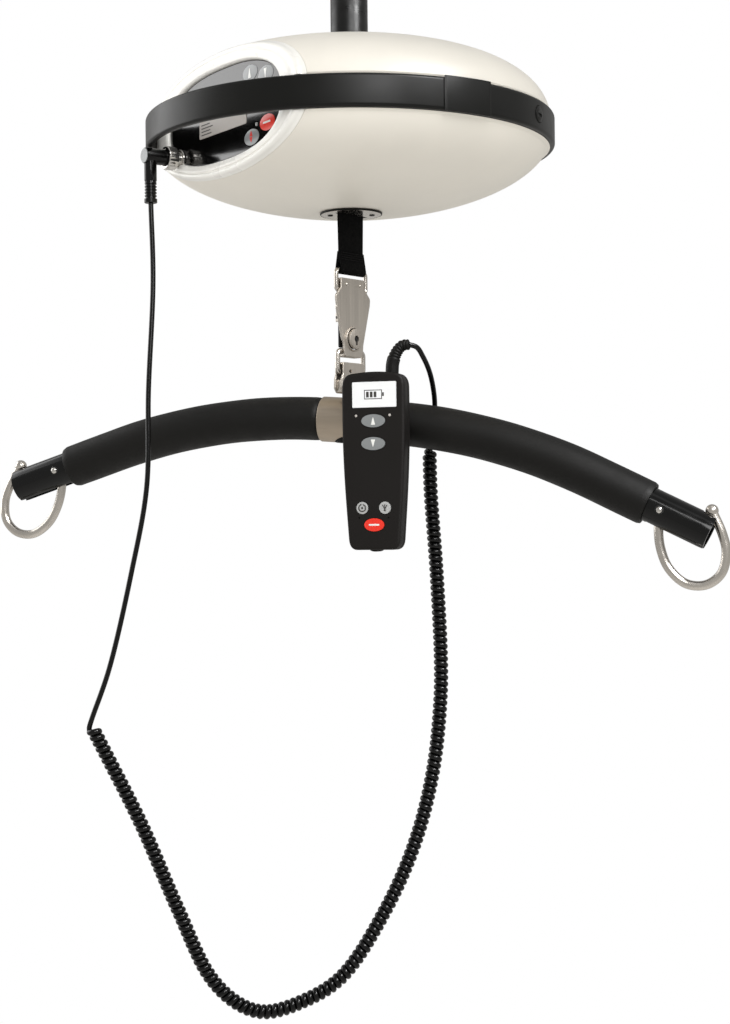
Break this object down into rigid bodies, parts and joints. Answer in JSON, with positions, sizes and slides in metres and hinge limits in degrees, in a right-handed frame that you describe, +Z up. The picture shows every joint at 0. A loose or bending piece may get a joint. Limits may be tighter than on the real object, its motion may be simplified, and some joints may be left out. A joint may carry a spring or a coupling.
{
  "type": "patient lift hoist",
  "caption": "Ceiling-mounted patient lift hoist: lens-shaped housing with drum drive, webbing strap, quick-release coupler, curved spreader bar with sling hooks, corded hand control.",
  "frame": {"origin": "centre of the suspension tube's flat top face", "axes": "+Z up along the suspension tube; -Y is the front, which the control facet faces obliquely from the left; +X is to the right seen from the front"},
  "size_m": [0.6456, 0.36, 0.9399],
  "materials": {
    "shell_white": "moulded, satin",
    "bezel_white": "moulded, gloss",
    "ring_black": "moulded, satin",
    "panel_glass": "clear-coated foil, gloss",
    "gloss_black": "powder coated, semi-gloss",
    "matte_black": "moulded, matte",
    "foam_black": "closed-cell foam, matte",
    "webbing_black": "woven webbing",
    "brushed_steel": "brushed",
    "chrome": "polished",
    "grey_key": "satin",
    "red_key": "satin",
    "display_white": "gloss window",
    "board_green": "solder mask",
    "zinc": "zinc plated",
    "battery_grey": "shrink wrapped"
  },
  "bodies": {
    "hoist": {"suspension_tube": "gloss_black", "upper_shell": "shell_white", "lower_shell": "shell_white", "panel_bezel": "bezel_white", "control_panel": "panel_glass", "circuit_board": "board_green", "control_socket": "chrome", "control_plug": "matte_black", "bumper_ring": "ring_black", "ring_screw_cap": "ring_black", "ring_joint_cover": "ring_black", "chassis_cross_plate": "zinc", "chassis_plate_left": "zinc", "chassis_plate_right": "zinc", "motor_bracket": "zinc", "gearbox": "brushed_steel", "drive_motor": "gloss_black", "battery_pack": "battery_grey", "strap_outlet": "matte_black", "control_cord": "matte_black", "coil_cord": "matte_black"},
    "drum": {"strap_drum": "zinc", "wound_webbing": "webbing_black", "drum_shaft": "brushed_steel", "drum_gear": "brushed_steel"},
    "pinion": {"drive_pinion": "brushed_steel"},
    "plug_nut": {"plug_nut": "chrome"},
    "strap_end": {"lift_strap": "webbing_black"},
    "coupler": {"upper_link": "brushed_steel", "coupler_plate": "brushed_steel"},
    "release_button": {"release_button": "brushed_steel"},
    "latch_tongue": {"latch_tongue": "matte_black"},
    "hanger": {"lower_link": "brushed_steel", "swivel_plate": "brushed_steel", "swivel_bolt": "brushed_steel"},
    "spreader_bar": {"bar_tube": "gloss_black", "bar_collar": "brushed_steel", "collar_plug": "matte_black", "foam_sleeve_left": "foam_black", "foam_sleeve_right": "foam_black", "hook_pin_left": "chrome", "hook_pin_right": "chrome"},
    "sling_hook_left": {"sling_hook_left": "brushed_steel"},
    "sling_hook_right": {"sling_hook_right": "brushed_steel"},
    "handset": {"handset_front": "matte_black", "handset_back": "matte_black", "handset_display": "display_white", "handset_board": "board_green", "handset_hanger": "matte_black", "handset_strain_relief": "matte_black", "handset_lead": "matte_black"},
    "panel_up_key": {"panel_up_key": "grey_key"},
    "panel_down_key": {"panel_down_key": "grey_key"},
    "panel_lowering_key": {"panel_lowering_key": "grey_key"},
    "panel_stop_key": {"panel_stop_key": "red_key"},
    "handset_up_key": {"handset_up_key": "grey_key"},
    "handset_down_key": {"handset_down_key": "grey_key"},
    "handset_light_key": {"handset_light_key": "grey_key"},
    "handset_return_key": {"handset_return_key": "grey_key"},
    "handset_stop_key": {"handset_stop_key": "red_key"}
  },
  "joints": [
    {"name": "lift", "type": "slide", "parent": "hoist", "child": "strap_end", "axis": [0, 0, 1], "range_m": [-2, 0.04], "deforming": ["lift_strap", "coil_cord"]},
    {"name": "drum_turn", "type": "hinge", "parent": "hoist", "child": "drum", "pos_m": [-0.03064, 0.02571, -0.178], "axis": [0.6428, 0.766, 0], "range_deg": [-72, 3582]},
    {"name": "pinion_turn", "type": "hinge", "parent": "hoist", "child": "pinion", "pos_m": [0.01164, -0.00977, -0.178], "axis": [0.6428, 0.766, 0], "range_deg": [-9552, 191]},
    {"name": "plug_nut_turn", "type": "hinge", "parent": "hoist", "child": "plug_nut", "pos_m": [-0.15795, -0.02026, -0.1908], "axis": [-0.8191, -0.5736, 0], "range_deg": [0, 90]},
    {"name": "coupler_swing", "type": "hinge", "parent": "strap_end", "child": "coupler", "pos_m": [0, 0, -0.2895], "axis": [0.6428, 0.766, 0], "range_deg": [-15, 15]},
    {"name": "release_button_press", "type": "slide", "parent": "coupler", "child": "release_button", "axis": [-0.766, 0.6428, 0], "range_m": [0, 0.004], "stiffness_N_per_m": 600},
    {"name": "latch_tongue_swing", "type": "hinge", "parent": "coupler", "child": "latch_tongue", "pos_m": [-0.00345, 0.00289, -0.33], "axis": [0.6428, 0.766, 0], "range_deg": [-1, 13]},
    {"name": "hanger_swing", "type": "hinge", "parent": "coupler", "child": "hanger", "pos_m": [0, 0, -0.3595], "axis": [0.6428, 0.766, 0], "range_deg": [-15, 15]},
    {"name": "bar_swivel", "type": "hinge", "parent": "hanger", "child": "spreader_bar", "pos_m": [0, 0, -0.392], "axis": [0.075, -0.0229, 0.9969], "range_deg": [-90, 20]},
    {"name": "sling_hook_right_swing", "type": "hinge", "parent": "spreader_bar", "child": "sling_hook_right", "pos_m": [0.2586, -0.07906, -0.5031], "axis": [-0.2924, -0.9563, 0], "range_deg": [0, 60]},
    {"name": "sling_hook_left_swing", "type": "hinge", "parent": "spreader_bar", "child": "sling_hook_left", "pos_m": [-0.27204, 0.08317, -0.45943], "axis": [0.2924, 0.9563, 0], "range_deg": [0, 60]},
    {"name": "handset_lift_off", "type": "slide", "parent": "spreader_bar", "child": "handset", "axis": [0, 0, 1], "range_m": [0, 0.03], "deforming": ["handset_lead"]},
    {"name": "panel_up_key_press", "type": "slide", "parent": "hoist", "child": "panel_up_key", "axis": [0.8191, 0.5736, 0], "range_m": [0, 0.001], "stiffness_N_per_m": 600},
    {"name": "panel_down_key_press", "type": "slide", "parent": "hoist", "child": "panel_down_key", "axis": [0.8191, 0.5736, 0], "range_m": [0, 0.001], "stiffness_N_per_m": 600},
    {"name": "panel_lowering_key_press", "type": "slide", "parent": "hoist", "child": "panel_lowering_key", "axis": [0.8191, 0.5736, 0], "range_m": [0, 0.001], "stiffness_N_per_m": 600},
    {"name": "panel_stop_key_press", "type": "slide", "parent": "hoist", "child": "panel_stop_key", "axis": [0.8191, 0.5736, 0], "range_m": [0, 0.001], "stiffness_N_per_m": 600},
    {"name": "handset_up_key_press", "type": "slide", "parent": "handset", "child": "handset_up_key", "axis": [0.2924, 0.9563, 0], "range_m": [0, 0.001], "stiffness_N_per_m": 600},
    {"name": "handset_down_key_press", "type": "slide", "parent": "handset", "child": "handset_down_key", "axis": [0.2924, 0.9563, 0], "range_m": [0, 0.001], "stiffness_N_per_m": 600},
    {"name": "handset_light_key_press", "type": "slide", "parent": "handset", "child": "handset_light_key", "axis": [0.2924, 0.9563, 0], "range_m": [0, 0.001], "stiffness_N_per_m": 600},
    {"name": "handset_return_key_press", "type": "slide", "parent": "handset", "child": "handset_return_key", "axis": [0.2924, 0.9563, 0], "range_m": [0, 0.001], "stiffness_N_per_m": 600},
    {"name": "handset_stop_key_press", "type": "slide", "parent": "handset", "child": "handset_stop_key", "axis": [0.2924, 0.9563, 0], "range_m": [0, 0.001], "stiffness_N_per_m": 600}
  ],
  "couplings": [
    {"joint": "drum_turn", "follows": "lift", "rad_per_m": -31.25},
    {"joint": "pinion_turn", "follows": "lift", "rad_per_m": 83.333},
    {"joint": "latch_tongue_swing", "follows": "release_button_press", "rad_per_m": 54}
  ]
}
